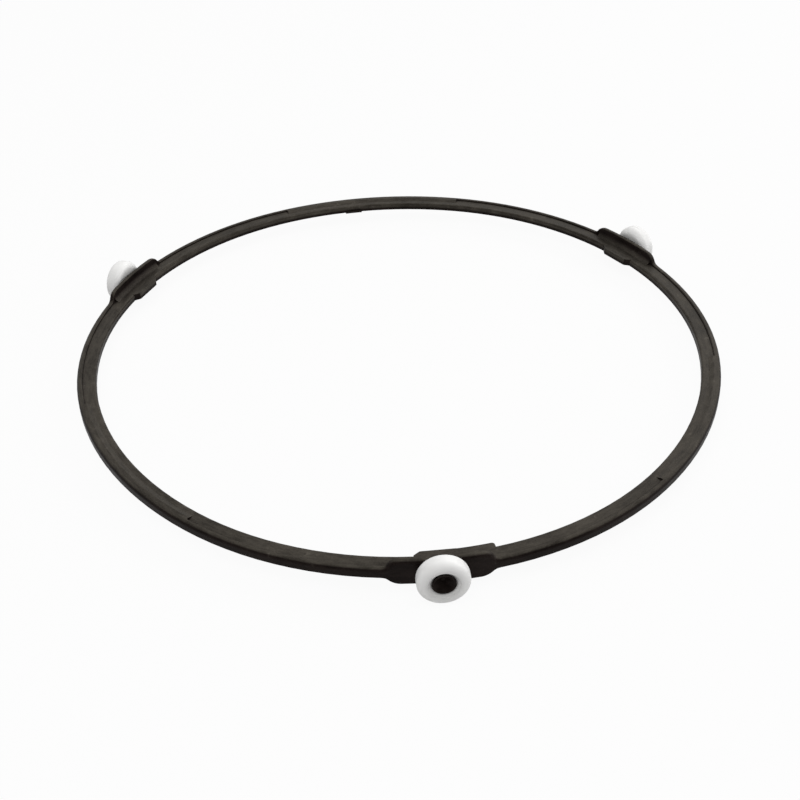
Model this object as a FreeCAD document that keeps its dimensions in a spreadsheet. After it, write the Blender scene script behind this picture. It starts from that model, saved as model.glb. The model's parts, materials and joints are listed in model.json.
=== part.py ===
import FreeCAD, Part
import math
import os
import Sketcher
from FreeCAD import Placement, Rotation, Vector

# Roller ring of a microwave oven, in millimetres, standing on its three rollers.
# The origin is the point of the oven floor under the turning axis; the first station looks to -Y.

STATIONS = 3
ROLLER_NODES = ("roller_front", "roller_rear_right", "roller_rear_left")

SIZES = {
    # rollers
    "roller_diameter": 14.0,
    "roller_width": 5.1,
    "roller_edge_round": 1.8,
    "countersink_diameter": 8.6,
    "bore_chamfer": 0.4,
    # ring band, seen in plan; out_of_round is how much nearer the axis it passes between stations
    "outer_radius": 100.7,
    "out_of_round": 1.2,
    "land_half_angle": 17.6,
    # ring band, in section
    "ring_width": 5.8,
    "ring_height": 2.85,
    "rim_above_axle": 0.95,
    "rim_step": 0.55,
    "land_width": 2.2,
    "land_ramp": 1.5,
    "outer_edge_round": 1.1,
    "inner_edge_round": 0.7,
    # rim, and the upright wall it rises into where it carries an axle
    "wall_thickness": 1.7,
    "wall_length": 30.6,
    "wall_above_axle": 3.85,
    "wall_below_axle": 3.95,
    "wall_end_run": 5.0,
    "wall_foot_share": 0.35,
    "wall_back_chamfer": 0.25,
    "wall_foot_round": 1.8,
    # pad on the inner edge behind the wall
    "pad_reach": 1.5,
    "pad_tip_length": 9.6,
    "pad_root_length": 13.0,
    "pad_corner_round": 0.8,
    # stub of the moulding gate beside the front pad, as bearing and length in degrees about the arc
    "gate_reach": 1.3,
    "gate_bearing": 6.2,
    "gate_angle": 6.4,
    # overflow tab where the melt met again, opposite the gate
    "tab_reach": 0.75,
    "tab_height": 0.5,
    "tab_bearing": 4.0,
    "tab_angle": 3.4,
    # stub axle with its flared, dished end
    "axle_diameter": 5.0,
    "head_recess": 0.5,
    "head_lip": 0.14,
    "dish_rim": 0.4,
    "dish_depth": 2.0,
    "dish_floor_diameter": 1.1,
    # clearances
    "bore_clearance": 0.08,
    "side_play": 0.4,
    "head_play": 0.3,
}

doc = FreeCAD.newDocument("RollerRing")
sheet = doc.addObject("Spreadsheet::Sheet", "Sizes")
for row, (alias, value) in enumerate(SIZES.items(), start=1):
    sheet.set(f"A{row}", alias)
    sheet.set(f"B{row}", str(value))
    sheet.setAlias(f"B{row}", alias)
doc.recompute()

# Heights above the oven floor
axle_z = "(Sizes.roller_diameter / 2)"
rim_top = f"({axle_z} + Sizes.rim_above_axle)"
web_top = f"({rim_top} - Sizes.rim_step)"
ring_under = f"({rim_top} - Sizes.ring_height)"
wall_top = f"({axle_z} + Sizes.wall_above_axle)"
wall_under = f"({axle_z} - Sizes.wall_below_axle)"

# Plan of the band: station arcs and land arcs that meet in line, each about a centre of its own
half_pitch = f"({180 / STATIONS})"
arc_half = f"({half_pitch} - Sizes.land_half_angle)"
turn_ratio = f"(1 / tan({arc_half}) - 1 / sin({arc_half}))"
lobe_factor = f"(1 - cos({half_pitch}) + sin({half_pitch}) * {turn_ratio})"
land_centre = f"(Sizes.out_of_round / {lobe_factor})"
arc_centre = f"({land_centre} * (sin({half_pitch}) / tan({arc_half}) - cos({half_pitch})))"
arc_radius = f"(Sizes.outer_radius - {arc_centre})"
land_radius = f"({arc_radius} + {land_centre} * sin({half_pitch}) / sin({arc_half}))"

# Roller along its axle, measured from the turning axis
roller_inside = "(Sizes.outer_radius + Sizes.side_play)"
roller_outside = f"({roller_inside} + Sizes.roller_width)"
axle_radius = "(Sizes.axle_diameter / 2)"
bore_radius = f"({axle_radius} + Sizes.bore_clearance)"
countersink_depth = f"(Sizes.countersink_diameter / 2 - {bore_radius})"


def plane_of(body, role):
    return next(feature for feature in body.Origin.OriginFeatures if feature.Role == role)


def sketch_on(body, plane, name):
    sketch = body.newObject("Sketcher::SketchObject", name)
    sketch.AttachmentSupport = [(plane_of(body, plane), "")]
    sketch.MapMode = "FlatFace"
    return sketch


def outline(sketch, corners):
    """Close a loop through corners (across, up[, radius]); a radius makes the side that follows an arc.

    Each entry is an expression. The arc turns left on its way, or right where its radius begins with "-"."""
    points = [Vector(*(float(sketch.evalExpression(text)) for text in corner[:2])) for corner in corners]
    first = len(sketch.Geometry)
    for index, corner in enumerate(corners):
        start, end = points[index], points[(index + 1) % len(points)]
        if len(corner) == 2:
            sketch.addGeometry(Part.LineSegment(start, end), False)
            continue
        chord = end - start
        radius = float(sketch.evalExpression(corner[2].lstrip("-")))
        side = -1 if corner[2].startswith("-") else 1
        normal = Vector(-chord.y, chord.x, 0).normalize() * side
        rise = max(radius ** 2 - (chord.Length / 2) ** 2, 0) ** 0.5
        centre = (start + end) / 2 + normal * rise
        middle = centre + ((start + end) / 2 - normal * 1e-3 - centre).normalize() * radius
        sketch.addGeometry(Part.Arc(start, middle, end), False)
    for index, corner in enumerate(corners):
        side = first + index
        after = first + (index + 1) % len(corners)
        turns_right = len(corner) == 3 and corner[2].startswith("-")
        following = corners[(index + 1) % len(corners)]
        next_right = len(following) == 3 and following[2].startswith("-")
        end_of_side = 1 if turns_right else 2
        start_of_next = 2 if next_right else 1
        sketch.addConstraint(Sketcher.Constraint("Coincident", side, end_of_side, after, start_of_next))
        start_of_side = 2 if turns_right else 1
        for kind, text, value in zip(("DistanceX", "DistanceY"), corner, points[index]):
            constraint = sketch.addConstraint(Sketcher.Constraint(kind, -1, 1, side, start_of_side, value))
            sketch.setExpression(f"Constraints[{constraint}]", text)
        if len(corner) == 3:
            text = corner[2].lstrip("-")
            constraint = sketch.addConstraint(
                Sketcher.Constraint("Radius", side, float(sketch.evalExpression(text))))
            sketch.setExpression(f"Constraints[{constraint}]", text)


def revolve(body, sketch, name, axis, angle):
    """Turn a sketch about one of its own axes, the same angle to both sides."""
    feature = body.newObject("PartDesign::Revolution", name)
    feature.Profile = sketch
    feature.ReferenceAxis = (sketch, [axis])
    feature.Midplane = True
    feature.setExpression("Angle", angle)
    sketch.Visibility = False
    doc.recompute()
    return feature


def centred_sketch(body, name, centre, turn="0"):
    """Sketch in an upright plane through the axis of one arc; its x runs outwards along the bearing."""
    sketch = sketch_on(body, "XZ_Plane", name)
    sketch.AttachmentOffset = Placement(Vector(), Rotation(Vector(0, 1, 0), 1))
    sketch.setExpression("AttachmentOffset.Base.x", centre)
    sketch.setExpression("AttachmentOffset.Rotation.Angle", turn)
    return sketch


def web_section(sketch, radius):
    """Flat inner flange of the band, reaching half way under the rim."""
    inside = f"({radius} - Sizes.ring_width)"
    outline(sketch, [
        (inside, ring_under),
        (f"{radius} - Sizes.wall_thickness / 2", ring_under),
        (f"{radius} - Sizes.wall_thickness / 2", web_top),
        (f"{inside} + Sizes.inner_edge_round", web_top, "Sizes.inner_edge_round"),
        (inside, f"{web_top} - Sizes.inner_edge_round"),
    ])


def land_section(sketch, radius):
    """Band between the stations, where the rim is wider and leans down to the flange."""
    inside = f"({radius} - Sizes.ring_width)"
    outline(sketch, [
        (inside, ring_under),
        (radius, ring_under),
        (radius, f"{rim_top} - Sizes.outer_edge_round", "Sizes.outer_edge_round"),
        (f"{radius} - Sizes.outer_edge_round", rim_top),
        (f"{radius} - Sizes.land_width", rim_top),
        (f"{radius} - Sizes.land_width - Sizes.land_ramp", web_top),
        (f"{inside} + Sizes.inner_edge_round", web_top, "Sizes.inner_edge_round"),
        (inside, f"{web_top} - Sizes.inner_edge_round"),
    ])


def wall_waste(sketch, level, foot):
    """What is cut away beside the wall: an S of two arcs leads from its level to the rim's, its foot."""
    rise = f"abs({level} - {foot})"
    both_radii = f"((Sizes.wall_end_run ^ 2 + {rise} ^ 2) / (2 * {rise}))"
    foot_radius = f"({both_radii} * Sizes.wall_foot_share)"
    level_radius = f"({both_radii} * (1 - Sizes.wall_foot_share))"
    end = "Sizes.wall_length / 2"
    past = f"({level} + ({level} - {foot}))"
    upwards = float(sketch.evalExpression(f"{level} - {foot}")) > 0
    foot_turn, level_turn = ("-", "") if upwards else ("", "-")
    outline(sketch, [
        (end, foot, foot_turn + foot_radius),
        (f"{end} - Sizes.wall_end_run * Sizes.wall_foot_share",
         f"{foot} + ({level} - {foot}) * Sizes.wall_foot_share", level_turn + level_radius),
        (f"{end} - Sizes.wall_end_run", level),
        (f"{end} - Sizes.wall_end_run", past),
        (arc_radius, past),
        (arc_radius, foot),
    ])


def add_rim(body):
    """Rim of one station, cut from a strip as high as the wall that stands in its middle."""
    section = centred_sketch(body, "RimSection", arc_centre)
    outline(section, [
        (f"{arc_radius} - Sizes.wall_thickness", wall_under),
        (arc_radius, wall_under),
        (arc_radius, wall_top),
        (f"{arc_radius} - Sizes.wall_thickness", wall_top),
    ])
    strip = revolve(body, section, "RimStrip", "V_Axis", f"2 * {arc_half}")
    waste = sketch_on(body, "YZ_Plane", "WallWaste")
    wall_waste(waste, wall_top, rim_top)
    wall_waste(waste, wall_under, ring_under)
    cut = body.newObject("PartDesign::Pocket", "WallEnd")
    cut.Profile = waste
    cut.Type = "ThroughAll"
    cut.SideType = "Symmetric"
    waste.Visibility = False
    doc.recompute()
    if cut.Shape.Volume >= strip.Shape.Volume:
        raise RuntimeError("the wall's end cuts nothing")
    both = body.newObject("PartDesign::Mirrored", "WallEnds")
    both.Originals = [cut]
    both.MirrorPlane = (plane_of(body, "XZ_Plane"), [""])
    body.Tip = both
    doc.recompute()
    crest = crest_edges(body, arc_radius)
    dress_edges(body, "Fillet", "OuterCrest", crest, "Radius", "Sizes.outer_edge_round")
    crest = crest_edges(body, f"({arc_radius} - Sizes.wall_thickness)")
    dress_edges(body, "Chamfer", "BackCrest", crest, "Size", "Sizes.wall_back_chamfer")


def add_wall_foot(body):
    """Hollow round that leads from the flange up to the wall's back and ends inside the S at each end."""
    section = centred_sketch(body, "FootSection", arc_centre)
    back = f"({arc_radius} - Sizes.wall_thickness)"
    inside_wall = f"({arc_radius} - Sizes.wall_thickness / 2)"
    under = f"({web_top} - Sizes.rim_step)"
    top = f"({web_top} + Sizes.wall_foot_round)"
    outline(section, [
        (f"{back} - Sizes.wall_foot_round", under),
        (inside_wall, under),
        (inside_wall, top),
        (back, top, "-Sizes.wall_foot_round"),
        (f"{back} - Sizes.wall_foot_round", web_top),
    ])
    half_length = "((Sizes.wall_length - Sizes.wall_end_run) / 2)"
    revolve(body, section, "WallFoot", "V_Axis", f"2 * asin({half_length} / {arc_radius})")


def crest_edges(body, face_radius):
    """Edges along the top of the rim's face of the given radius, up over the wall and down again."""
    centre = Vector(float(body.evalExpression(arc_centre)), 0, 0)
    reach = float(body.evalExpression(face_radius))
    axle = sheet.roller_diameter / 2
    chosen = []
    for number, edge in enumerate(body.Tip.Shape.Edges, start=1):
        low, high = edge.ParameterRange
        places = [edge.valueAt(low + (high - low) * share) for share in (0.25, 0.5, 0.75)]
        on_face = all(abs(Vector(place.x, place.y).sub(centre).Length - reach) < 1e-3 for place in places)
        if on_face and places[1].z > axle and not is_upright(edge):
            chosen.append(f"Edge{number}")
    return chosen


def is_upright(edge):
    ends = [vertex.Point for vertex in edge.Vertexes]
    return abs(ends[0].z - ends[-1].z) > 0.99 * edge.Length


def inner_corners(body, reach, first, last):
    """Upright edges of what stands in from the band by a reach, between two bearings in degrees."""
    limit = sheet.outer_radius - sheet.ring_width - reach / 2
    chosen = []
    for number, edge in enumerate(body.Tip.Shape.Edges, start=1):
        foot = edge.Vertexes[0].Point
        bearing = math.degrees(math.atan2(foot.y, foot.x))
        if is_upright(edge) and math.hypot(foot.x, foot.y) < limit and first < bearing < last:
            chosen.append(f"Edge{number}")
    return chosen


def dress_edges(body, kind, name, edges, size, expression):
    """Fillet or chamfer the named edges of the body's tip."""
    feature = body.newObject(f"PartDesign::{kind}", name)
    feature.Base = (feature.BaseFeature, edges)
    feature.setExpression(size, expression)
    doc.recompute()


def add_pad(body):
    sketch = sketch_on(body, "XY_Plane", "PadPlan")
    sketch.AttachmentOffset = Placement(Vector(0, 0, 1), Rotation())
    sketch.setExpression("AttachmentOffset.Base.z", ring_under)
    inside = "(Sizes.outer_radius - Sizes.ring_width)"
    tip, root = "Sizes.pad_tip_length / 2", "Sizes.pad_root_length / 2"
    inner_edge = f"({arc_centre} + sqrt(({arc_radius} - Sizes.ring_width) ^ 2 - ({root}) ^ 2))"
    outline(sketch, [
        (f"{inside} - Sizes.pad_reach", f"-{tip}"),
        (inner_edge, f"-{root}"),
        (f"{inside} + Sizes.ring_width / 4", f"-{root}"),
        (f"{inside} + Sizes.ring_width / 4", root),
        (inner_edge, root),
        (f"{inside} - Sizes.pad_reach", tip),
    ])
    pad = body.newObject("PartDesign::Pad", "Pad")
    pad.Profile = sketch
    pad.setExpression("Length", "Sizes.ring_height - Sizes.rim_step")
    sketch.Visibility = False
    doc.recompute()
    bearing = math.degrees(math.atan2(sheet.pad_root_length / 2, sheet.outer_radius - sheet.ring_width))
    corners = inner_corners(body, sheet.pad_reach, -bearing, bearing)
    dress_edges(body, "Fillet", "PadCorners", corners, "Radius", "Sizes.pad_corner_round")


def add_axle(body):
    """Stub that grows from the wall, flares at 45 degrees in the roller's countersink and ends in a dish."""
    sketch = sketch_on(body, "XZ_Plane", "AxleSection")
    sketch.AttachmentOffset = Placement(Vector(0, 1, 0), Rotation())
    sketch.setExpression("AttachmentOffset.Base.y", axle_z)
    flare_start = f"({roller_outside} - {countersink_depth} + Sizes.head_play + Sizes.bore_clearance)"
    head_end = f"({roller_outside} - Sizes.head_recess)"
    flare_end = f"({head_end} - Sizes.head_lip)"
    head = f"({axle_radius} + {flare_end} - {flare_start})"
    outline(sketch, [
        ("Sizes.outer_radius - Sizes.wall_thickness / 2", "0"),
        (f"{head_end} - Sizes.dish_depth", "0"),
        (f"{head_end} - Sizes.dish_depth", "Sizes.dish_floor_diameter / 2"),
        (head_end, f"{head} - Sizes.dish_rim"),
        (head_end, head),
        (flare_end, head),
        (flare_start, axle_radius),
        ("Sizes.outer_radius - Sizes.wall_thickness / 2", axle_radius),
    ])
    revolve(body, sketch, "Axle", "H_Axis", "360")


def make_ring():
    body = doc.addObject("PartDesign::Body", "RingFrame")
    body.Label = "ring_frame"
    body.AllowCompound = True
    add_rim(body)
    web = centred_sketch(body, "WebSection", arc_centre)
    web_section(web, arc_radius)
    revolve(body, web, "Web", "V_Axis", f"2 * {arc_half}")
    add_wall_foot(body)
    add_pad(body)
    add_axle(body)
    land = centred_sketch(body, "LandSection", land_centre, "180")
    land_section(land, land_radius)
    revolve(body, land, "Land", "V_Axis", "2 * Sizes.land_half_angle")
    pattern = body.newObject("PartDesign::PolarPattern", "Stations")
    pattern.TransformMode = "Whole shape"
    pattern.Axis = (plane_of(body, "Z_Axis"), [""])
    pattern.Angle = 360
    pattern.Occurrences = STATIONS
    body.Tip = pattern
    doc.recompute()
    gate = centred_sketch(body, "GateSection", arc_centre, "Sizes.gate_bearing")
    stub_section(gate, arc_radius, "Sizes.gate_reach", web_top)
    revolve(body, gate, "Gate", "V_Axis", "Sizes.gate_angle")
    far_bearing = sheet.gate_bearing + sheet.gate_angle
    corners = inner_corners(body, sheet.gate_reach, sheet.gate_bearing, far_bearing)
    dress_edges(body, "Fillet", "GateCorner", corners, "Radius", "Sizes.pad_corner_round")
    overflow = centred_sketch(body, "OverflowSection", land_centre, "180 + Sizes.tab_bearing")
    stub_section(overflow, land_radius, "Sizes.tab_reach", f"{ring_under} + Sizes.tab_height")
    revolve(body, overflow, "OverflowTab", "V_Axis", "Sizes.tab_angle")
    place(body, 0, "0")
    doc.recompute()
    return body


def stub_section(sketch, radius, reach, top):
    """Section of a short curved block on the band's inner edge, left by the moulding."""
    inside = f"({radius} - Sizes.ring_width)"
    outline(sketch, [
        (f"{inside} - {reach}", ring_under),
        (f"{inside} + Sizes.ring_width / 4", ring_under),
        (f"{inside} + Sizes.ring_width / 4", top),
        (f"{inside} - {reach}", top),
    ])


def make_roller(index):
    body = doc.addObject("PartDesign::Body", f"Roller{index + 1}")
    body.Label = ROLLER_NODES[index]
    sketch = sketch_on(body, "XZ_Plane", "RollerSection")
    tread, edge = "(Sizes.roller_diameter / 2)", "Sizes.roller_edge_round"
    outline(sketch, [
        (f"{roller_inside} + Sizes.bore_chamfer", bore_radius),
        (f"{roller_outside} - {countersink_depth}", bore_radius),
        (roller_outside, "Sizes.countersink_diameter / 2"),
        (roller_outside, f"{tread} - {edge}", edge),
        (f"{roller_outside} - {edge}", tread),
        (f"{roller_inside} + {edge}", tread, edge),
        (roller_inside, f"{tread} - {edge}"),
        (roller_inside, f"{bore_radius} + Sizes.bore_chamfer"),
    ])
    revolve(body, sketch, f"RollerBody{index + 1}", "H_Axis", "360")
    place(body, index, axle_z)
    return body


def place(body, index, height):
    """Turn a body from its own x to the bearing of its station, and lift it."""
    body.Placement = Placement(Vector(), Rotation(Vector(0, 0, 1), -90 + index * 360 / STATIONS))
    body.setExpression("Placement.Base.z", height)


bodies = [make_ring()] + [make_roller(index) for index in range(STATIONS)]
doc.recompute()

for item in doc.Objects:
    if {"Invalid", "Error"} & set(item.State):
        raise RuntimeError(f"{item.Name} failed: {item.State}")
for body in bodies:
    if body.Shape.isNull() or not body.Shape.isValid() or len(body.Shape.Solids) != 1:
        raise RuntimeError(f"{body.Label} is not one valid solid")

os.makedirs("parts", exist_ok=True)
for body in bodies:
    body.Shape.exportStep(f"parts/{body.Label}.step")
    box = body.Shape.BoundBox
    print(body.Label, round(body.Shape.Volume, 2), [round(value, 2) for value in
          (box.XMin, box.XMax, box.YMin, box.YMax, box.ZMin, box.ZMax)])
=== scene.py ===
import json
import math
import bpy
import bmesh
from mathutils import Matrix, Vector

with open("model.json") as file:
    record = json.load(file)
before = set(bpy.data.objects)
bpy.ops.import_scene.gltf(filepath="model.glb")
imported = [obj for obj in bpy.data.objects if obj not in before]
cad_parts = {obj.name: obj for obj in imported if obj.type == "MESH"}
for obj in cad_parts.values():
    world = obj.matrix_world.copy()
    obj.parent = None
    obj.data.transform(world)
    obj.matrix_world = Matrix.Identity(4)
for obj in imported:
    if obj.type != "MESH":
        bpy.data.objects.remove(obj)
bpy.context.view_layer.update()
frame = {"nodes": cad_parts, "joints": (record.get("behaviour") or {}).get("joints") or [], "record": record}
nodes = frame["nodes"]
bodies = frame["record"]["behaviour"]["bodies"]
print("frame loaded:", ", ".join(sorted(nodes)))

scene = bpy.context.scene
scene.view_settings.view_transform = "Standard"

nodeLayout = {"across": 220, "down": 300, "perRow": 6}  # grid of new shader nodes, left of the shader
mixSockets = {"first": 6, "second": 7, "result": 2}  # colour sockets of a Mix node


# small helpers for node trees
def addNode(tree, kind, **settings):
    row, column = divmod(len(tree.nodes), nodeLayout["perRow"])
    node = tree.nodes.new(kind)
    node.location = ((column - nodeLayout["perRow"]) * nodeLayout["across"], -row * nodeLayout["down"])
    for key, value in settings.items():
        if hasattr(node, key):
            setattr(node, key, value)
        else:
            feed(tree, node.inputs[key.replace("_", " ")], value)
    return node


def feed(tree, socket, value):  # another node's socket, a plain value or a colour without its alpha
    if isinstance(value, bpy.types.NodeSocket):
        tree.links.new(value, socket)
    elif socket.type == "RGBA":
        socket.default_value = (*value, 1)
    else:
        socket.default_value = value


def mathNode(tree, operation, first, second=0.0, clamp=False):
    node = addNode(tree, "ShaderNodeMath", operation=operation, use_clamp=clamp)
    feed(tree, node.inputs[0], first)
    feed(tree, node.inputs[1], second)
    return node.outputs[0]


def vectorNode(tree, operation, first, second=(0, 0, 0)):
    node = addNode(tree, "ShaderNodeVectorMath", operation=operation)
    feed(tree, node.inputs[0], first)
    feed(tree, node.inputs[1], second)
    return node.outputs["Value" if operation == "LENGTH" else "Vector"]


def noiseNode(tree, vector, scale, look):
    node = addNode(tree, "ShaderNodeTexNoise", Vector=vector, Scale=scale,
                   Detail=look["detail"], Roughness=look["roughness"])
    return node.outputs["Fac"]


def rangeNode(tree, value, low, high, toLow=0.0, toHigh=1.0):
    node = addNode(tree, "ShaderNodeMapRange", interpolation_type="SMOOTHSTEP", Value=value,
                   From_Min=low, From_Max=high, To_Min=toLow, To_Max=toHigh)
    return node.outputs["Result"]


def mixColour(tree, factor, first, second):
    node = addNode(tree, "ShaderNodeMix", data_type="RGBA", Factor=factor)
    feed(tree, node.inputs[mixSockets["first"]], first)
    feed(tree, node.inputs[mixSockets["second"]], second)
    return node.outputs[mixSockets["result"]]


def newGroup(name, takes, gives):
    group = bpy.data.node_groups.new(name, "ShaderNodeTree")
    for label, kind in takes.items():
        group.interface.new_socket(label, in_out="INPUT", socket_type=kind)
    for label in gives:
        group.interface.new_socket(label, in_out="OUTPUT", socket_type="NodeSocketFloat")
    return group, addNode(group, "NodeGroupInput").outputs, addNode(group, "NodeGroupOutput").inputs


# shared effect: the skin of a moulded plastic, as grain height, cloudy mottling and rubbed spots
skinLook = {
    "grain": {"detail": 3, "roughness": 0.6},
    "cloud": {"detail": 5, "roughness": 0.62},
    "rub": {"detail": 6, "roughness": 0.7},
    "cloudRange": (0.32, 0.7),
    "patchRange": (0.46, 0.62),  # clouds in which spots can be rubbed
    "spotRange": (0.56, 0.7),
}


def buildMouldedSkin():
    look = skinLook
    takes = {"Vector": "NodeSocketVector", "Grain Scale": "NodeSocketFloat",
             "Cloud Scale": "NodeSocketFloat", "Rub Scale": "NodeSocketFloat"}
    group, given, out = newGroup("mouldedSkin", takes, ("Grain", "Cloud", "Rub"))
    grain = noiseNode(group, given["Vector"], given["Grain Scale"], look["grain"])
    cloud = noiseNode(group, given["Vector"], given["Cloud Scale"], look["cloud"])
    rub = noiseNode(group, given["Vector"], given["Rub Scale"], look["rub"])
    patch = rangeNode(group, cloud, *look["patchRange"])
    spots = rangeNode(group, rub, *look["spotRange"])
    feed(group, out["Grain"], grain)
    feed(group, out["Cloud"], rangeNode(group, cloud, *look["cloudRange"]))
    feed(group, out["Rub"], mathNode(group, "MULTIPLY", patch, spots))
    return group


# shared effect: how open a spot is, from 0 in a corner or hollow to 1 under the open sky
skyLook = {"samples": 8}


def buildOpenSky():
    takes = {"Reach": "NodeSocketFloat", "Low": "NodeSocketFloat", "High": "NodeSocketFloat"}
    group, given, out = newGroup("openSky", takes, ("Open",))
    cover = addNode(group, "ShaderNodeAmbientOcclusion", samples=skyLook["samples"], only_local=True,
                    Distance=given["Reach"])
    feed(group, out["Open"], rangeNode(group, cover.outputs["AO"], given["Low"], given["High"]))
    return group


mouldedSkin = buildMouldedSkin()
openSky = buildOpenSky()
print("shared effects built")


def newPlastic(name, look):
    material = bpy.data.materials.new(name)
    material.use_nodes = True
    tree = material.node_tree
    shader = tree.nodes["Principled BSDF"]
    shader.inputs["IOR"].default_value = look["ior"]
    return material, tree, shader


def skinNode(tree, place, look, rubScale=0.0):
    node = addNode(tree, "ShaderNodeGroup", node_tree=mouldedSkin, Vector=place,
                   Grain_Scale=look["grainScale"], Cloud_Scale=look["cloudScale"], Rub_Scale=rubScale)
    return node.outputs


def skyNode(tree, reach, low, high):
    node = addNode(tree, "ShaderNodeGroup", node_tree=openSky, Reach=reach, Low=low, High=high)
    return node.outputs["Open"]


def grainBump(tree, height, look):
    bump = addNode(tree, "ShaderNodeBump", Strength=look["grainStrength"], Distance=look["grainDepth"],
                   Height=height)
    return bump.outputs["Normal"]


ringLook = {
    "dark": (0.0035, 0.0024, 0.0022),
    "light": (0.0165, 0.012, 0.0105),
    "litCopyDark": (0.0185, 0.0162, 0.0132),  # painted light: faces that look up get this paler, duller copy of the colour
    "litCopyLight": (0.064, 0.057, 0.047),
    "paintedLightFrom": (0.6, 0.96),  # how far up a face looks, where light is painted on
    "paintedLightRound": (0.15, 0.85),  # the same painted light on rounds that look inwards
    "paintedLightSide": (0.0058, 0.0065),  # height on the band's inner side above which light is painted on
    "sideTop": 0.0076,  # the painted light on that side stops here
    "inwardFrom": (0.8, 0.95),  # how far inwards that side looks
    "wallShadeReach": 0.014,  # painted shade: walls this near take the painted light off a spot
    "wallShadeFrom": (0.56, 0.96),  # open share of the sky over a spot
    "rubbed": (0.12, 0.108, 0.09),
    "rubScale": 520.0,
    "rubAmount": 0.5,
    "rubOnSides": 0.3,  # share of it on faces without the painted light
    "roughness": (0.32, 0.46),
    "roughFrom": (0.1, 0.9),  # tones that take these two
    "ior": 1.13,
    "sheen": (1.0, 0.85, 0.78),
    "grainScale": 2400.0,
    "grainRange": (0.35, 0.65),
    "grainStrength": 0.35,
    "grainDepth": 0.00004,
    "cloudScale": 70.0,
    "streak": {"detail": 4, "roughness": 0.6},
    "streakScale": (22.0, 1000.0, 600.0),  # along the ring, across it and upwards
    "streakRange": (0.35, 0.65),
    "mottle": {"cloud": 0.45, "streak": 0.4, "grain": 0.25},  # shares in the tone
}


def flatDot(tree, first, second):  # dot product of two pairs of x and y
    products = [mathNode(tree, "MULTIPLY", one, other) for one, other in zip(first, second)]
    return mathNode(tree, "ADD", *products)


def ringPlace(tree):
    place = addNode(tree, "ShaderNodeTexCoord").outputs
    x, y, z = addNode(tree, "ShaderNodeSeparateXYZ", Vector=place["Object"]).outputs
    faceX, faceY, upward = addNode(tree, "ShaderNodeSeparateXYZ", Vector=place["Normal"]).outputs
    reach = mathNode(tree, "SQRT", flatDot(tree, (x, y), (x, y)))
    bearing = mathNode(tree, "ARCTAN2", y, x)
    polar = addNode(tree, "ShaderNodeCombineXYZ", X=bearing, Y=reach, Z=z).outputs[0]
    outward = mathNode(tree, "DIVIDE", flatDot(tree, (faceX, faceY), (x, y)), reach)
    inward = mathNode(tree, "MULTIPLY", outward, -1.0)
    return {"flat": place["Object"], "polar": polar, "height": z, "upward": upward, "inward": inward}


# painted light: faces that look up, rounds that look inwards and the top of the band's inner side get a
# paler lit colour, with painted shade where walls are near
def paintedLightMask(tree, place):
    look = ringLook
    tops = rangeNode(tree, place["upward"], *look["paintedLightFrom"])
    rounds = mathNode(tree, "MULTIPLY", rangeNode(tree, place["upward"], *look["paintedLightRound"]),
                      mathNode(tree, "GREATER_THAN", place["inward"], 0.0))
    side = mathNode(tree, "MULTIPLY", rangeNode(tree, place["height"], *look["paintedLightSide"]),
                    rangeNode(tree, place["inward"], *look["inwardFrom"]))
    belowTop = mathNode(tree, "LESS_THAN", place["height"], look["sideTop"])
    side = mathNode(tree, "MULTIPLY", side, belowTop)
    paintedLight = mathNode(tree, "MAXIMUM", mathNode(tree, "MAXIMUM", tops, rounds), side)
    # painted shade: the painted light fades where walls or hollows close in on a spot
    return mathNode(tree, "MULTIPLY", paintedLight, skyNode(tree, look["wallShadeReach"], *look["wallShadeFrom"]))


def ringTone(tree, place, skin):  # from 0, dark, to 1, light
    look = ringLook
    stretch = addNode(tree, "ShaderNodeMapping", Scale=look["streakScale"], Vector=place["polar"])
    streak = noiseNode(tree, stretch.outputs[0], 1, look["streak"])
    parts = {
        "cloud": skin["Cloud"],
        "streak": rangeNode(tree, streak, *look["streakRange"]),
        "grain": rangeNode(tree, skin["Grain"], *look["grainRange"]),
    }
    tone = 0.0
    for name, part in parts.items():
        weighted = mathNode(tree, "MULTIPLY", part, look["mottle"][name])
        tone = mathNode(tree, "ADD", weighted, tone, clamp=True)
    return tone


def buildRingPlastic():
    look = ringLook
    material, tree, shader = newPlastic("ringPlastic", look)
    feed(tree, shader.inputs["Specular Tint"], look["sheen"])
    place = ringPlace(tree)
    skin = skinNode(tree, place["flat"], look, look["rubScale"])
    tone = ringTone(tree, place, skin)
    # painted light and shade, from the way each face looks and the walls near it
    paintedLight = paintedLightMask(tree, place)
    plainColour = mixColour(tree, tone, look["dark"], look["light"])
    colour = mixColour(tree, paintedLight, plainColour, mixColour(tree, tone, look["litCopyDark"], look["litCopyLight"]))
    rub = mathNode(tree, "MULTIPLY", skin["Rub"], look["rubAmount"])
    rub = mathNode(tree, "MULTIPLY", rub, mathNode(tree, "MAXIMUM", paintedLight, look["rubOnSides"]))
    feed(tree, shader.inputs["Base Color"], mixColour(tree, rub, colour, look["rubbed"]))
    feed(tree, shader.inputs["Roughness"], rangeNode(tree, tone, *look["roughFrom"], *look["roughness"]))
    feed(tree, shader.inputs["Normal"], grainBump(tree, skin["Grain"], look))
    return material


rollerLook = {
    "pale": (0.83, 0.825, 0.815),
    "dull": (0.72, 0.715, 0.705),
    "dullAmount": 0.35,
    "hollowShadeGrey": (0.3, 0.295, 0.28),  # painted shade in the countersink and in a band around the bore
    "hollowShadeReach": 0.009,
    "hollowShadeFrom": (0.45, 0.98),  # open share of the sky over a spot
    "hollowShadeAmount": 0.8,
    "boreRingShadeFrom": (0.004, 0.0056),  # distance from the bore's line over which the painted shade band fades out
    "boreRingShadeAmount": 0.3,
    "roughness": (0.38, 0.52),
    "ior": 1.48,
    "grainScale": 1800.0,
    "grainStrength": 0.25,
    "grainDepth": 0.00002,
    "cloudScale": 190.0,
}


# painted shade: darker in the countersink, where little sky is open, and in a band around the bore
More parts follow.
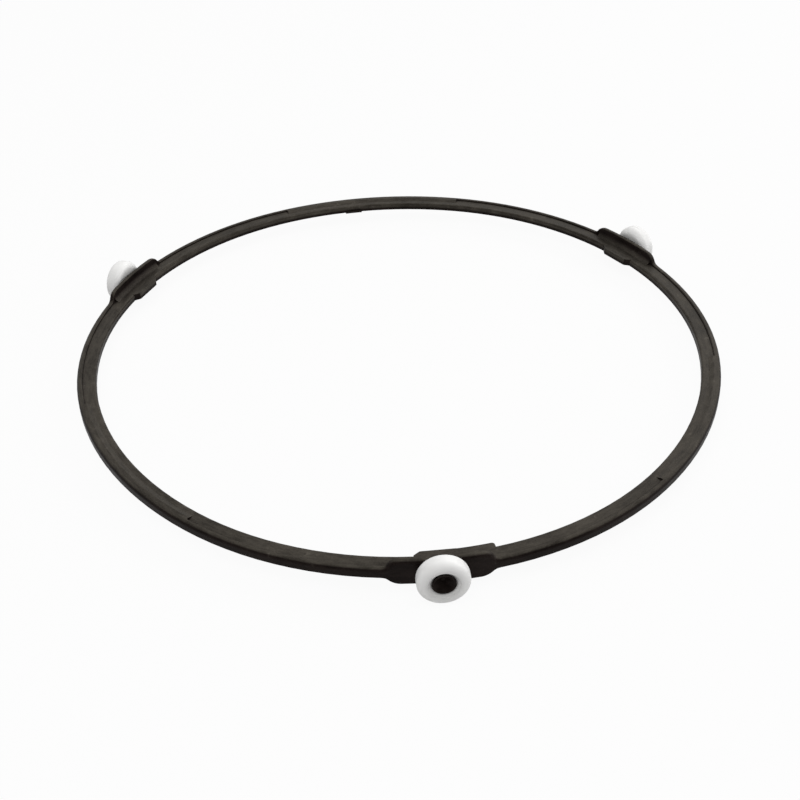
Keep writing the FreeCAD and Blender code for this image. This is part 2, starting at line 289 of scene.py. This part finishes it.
def paintedBoreShade(tree, place, spin):
    look = rollerLook
    sky = skyNode(tree, look["hollowShadeReach"], *look["hollowShadeFrom"])
    hidden = mathNode(tree, "SUBTRACT", 1.0, sky)
    hollowShade = mathNode(tree, "MULTIPLY", hidden, look["hollowShadeAmount"])
    arm = vectorNode(tree, "SUBTRACT", place, spin["pos_m"])
    distance = vectorNode(tree, "LENGTH", vectorNode(tree, "CROSS_PRODUCT", arm, spin["axis"]))
    boreRingShade = rangeNode(tree, distance, *look["boreRingShadeFrom"], look["boreRingShadeAmount"], 0.0)
    return mathNode(tree, "MAXIMUM", hollowShade, boreRingShade)


def buildRollerPlastic(spin):
    look = rollerLook
    material, tree, shader = newPlastic("rollerPlastic", look)
    place = addNode(tree, "ShaderNodeTexCoord").outputs["Object"]
    skin = skinNode(tree, place, look)
    dull = mathNode(tree, "MULTIPLY", skin["Cloud"], look["dullAmount"])
    clean = mixColour(tree, dull, look["pale"], look["dull"])
    colour = mixColour(tree, paintedBoreShade(tree, place, spin), clean, look["hollowShadeGrey"])
    feed(tree, shader.inputs["Base Color"], colour)
    feed(tree, shader.inputs["Roughness"], rangeNode(tree, skin["Cloud"], 0, 1, *look["roughness"]))
    feed(tree, shader.inputs["Normal"], grainBump(tree, skin["Grain"], look))
    return material


def dress(node, material):
    node.data.materials.clear()
    node.data.materials.append(material)


dress(nodes["ring_frame"], buildRingPlastic())
for spin in frame["joints"]:
    for name in bodies[spin["child"]]:
        dress(nodes[name], buildRollerPlastic(spin))
print("plastics placed")


# plain materials and meshes of the stage
def newStageMaterial(name):
    material = bpy.data.materials.new(name)
    material.use_nodes = True
    material.node_tree.nodes.clear()
    return material, material.node_tree


def addStageMesh(name, shape, material):
    mesh = bpy.data.meshes.new(name)
    shape.to_mesh(mesh)
    shape.free()
    mesh.materials.append(material)
    holder = bpy.data.objects.new(name, mesh)
    scene.collection.objects.link(holder)
    return holder


def backgroundRays(tree):  # 1 for what the lens, mirrors and glass see
    path = addNode(tree, "ShaderNodeLightPath").outputs
    seen = mathNode(tree, "MAXIMUM", path["Is Camera Ray"], path["Is Glossy Ray"])
    return mathNode(tree, "MAXIMUM", seen, path["Is Transmission Ray"])


floorLook = {
    "side": 6.0,
    "colour": (0.64, 0.64, 0.64),
    "selfLit": 0.94,  # share of plain white that the lens and mirrors see
}


def buildFloor():
    look = floorLook
    material, tree = newStageMaterial("paleFloor")
    matt = addNode(tree, "ShaderNodeBsdfDiffuse", Color=look["colour"])
    white = addNode(tree, "ShaderNodeEmission", Strength=1.0)
    share = mathNode(tree, "MULTIPLY", backgroundRays(tree), look["selfLit"])
    blend = addNode(tree, "ShaderNodeMixShader")
    for socket, part in zip(blend.inputs, (share, matt.outputs[0], white.outputs[0])):
        feed(tree, socket, part)
    addNode(tree, "ShaderNodeOutputMaterial", Surface=blend.outputs[0])
    shape = bmesh.new()
    bmesh.ops.create_grid(shape, x_segments=1, y_segments=1, size=look["side"] / 2)
    floor = addStageMesh("floor", shape, material)


worldLook = {"ambient": 0.42, "seen": 1.0}  # light on the part, and white behind it


def buildWorld():
    world = bpy.data.worlds.new("studio")
    world.use_nodes = True
    scene.world = world
    tree = world.node_tree
    back = tree.nodes["Background"]
    feed(tree, back.inputs["Color"], (1, 1, 1))
    level = rangeNode(tree, backgroundRays(tree), 0, 1, worldLook["ambient"], worldLook["seen"])
    feed(tree, back.inputs["Strength"], level)


# softboxes that look at the ring's middle: their places, sizes and watts, and whether gloss mirrors them
lampLooks = {
    "backSoftbox": {"at": (0.5, 0.72, 0.64), "size": (0.9, 0.45), "watts": 2.3, "mirrored": True},
    "topSoftbox": {"at": (-0.1, -0.2, 0.88), "size": (0.7, 0.7), "watts": 4.3, "mirrored": False},
    "rightSoftbox": {"at": (0.85, 0.05, 0.4), "size": (0.6, 0.6), "watts": 3.0, "mirrored": True},
    "frontFill": {"at": (-0.45, -0.8, 0.35), "size": (0.5, 0.4), "watts": 0.15, "mirrored": False},
}


def buildLamps():
    for name, look in lampLooks.items():
        lamp = bpy.data.lights.new(name, "AREA")
        lamp.shape = "RECTANGLE"
        lamp.size, lamp.size_y = look["size"]
        lamp.energy = look["watts"]
        holder = bpy.data.objects.new(name, lamp)
        holder.location = look["at"]
        holder.rotation_euler = Vector(look["at"]).to_track_quat("Z", "Y").to_euler()
        holder.visible_glossy = look["mirrored"]
        scene.collection.objects.link(holder)


# dark card that arches from above the ring to the lens, seen in reflections only
flagLook = {
    "reach": 1.4,
    "width": 5.0,
    "from": 78,  # degrees up from the far side
    "to": 177,
    "steps": 12,
    "colour": (0.01, 0.01, 0.01),
}


def buildFlag():
    look = flagLook
    material, tree = newStageMaterial("blackCard")
    matt = addNode(tree, "ShaderNodeBsdfDiffuse", Color=look["colour"])
    addNode(tree, "ShaderNodeOutputMaterial", Surface=matt.outputs[0])
    shape = bmesh.new()
    rows = []
    for step in range(look["steps"] + 1):
        angle = math.radians(look["from"] + (look["to"] - look["from"]) * step / look["steps"])
        along, up = look["reach"] * math.cos(angle), look["reach"] * math.sin(angle)
        rows.append([shape.verts.new((side * look["width"] / 2, along, up)) for side in (-1, 1)])
    for lower, upper in zip(rows, rows[1:]):
        shape.faces.new((lower[0], lower[1], upper[1], upper[0]))
    flag = addStageMesh("flag", shape, material)
    flag.visible_camera = flag.visible_diffuse = flag.visible_shadow = flag.visible_transmission = False


# the photograph's view, in metres and degrees: where the lens stands, seen from the ring's middle at its
# rim, and how it is turned
cameraLook = {
    "distance": 0.40086,
    "elevation": 34.47,
    "bearing": -95.55,
    "lookDown": 36.99,
    "roll": -1.09,
    "lens": 57.05,  # this and the sensor in millimetres
    "sensor": 36.0,
    "clipStart": 0.01,
    "rimHeight": 0.00795,
}


def buildCamera():
    look = cameraLook
    camera = bpy.data.cameras.new("camera")
    camera.lens = look["lens"]
    camera.sensor_width = look["sensor"]
    camera.clip_start = look["clipStart"]
    holder = bpy.data.objects.new("camera", camera)
    scene.collection.objects.link(holder)
    height, bearing = math.radians(look["elevation"]), math.radians(look["bearing"])
    flat = math.cos(height)
    toLens = Vector((flat * math.cos(bearing), flat * math.sin(bearing), math.sin(height)))
    middle = Vector((0, 0, look["rimHeight"]))
    pan = Matrix.Rotation(bearing + math.pi / 2, 4, "Z")
    tilt = Matrix.Rotation(math.radians(90 - look["lookDown"]), 4, "X")
    roll = Matrix.Rotation(math.radians(look["roll"]), 4, "Z")
    holder.matrix_world = Matrix.Translation(toLens * look["distance"] + middle) @ (pan @ tilt @ roll)
    scene.camera = holder


buildFloor()
buildWorld()
print("floor and backdrop placed")
buildLamps()
buildFlag()
print("lamps and card placed")
buildCamera()
print("camera placed")
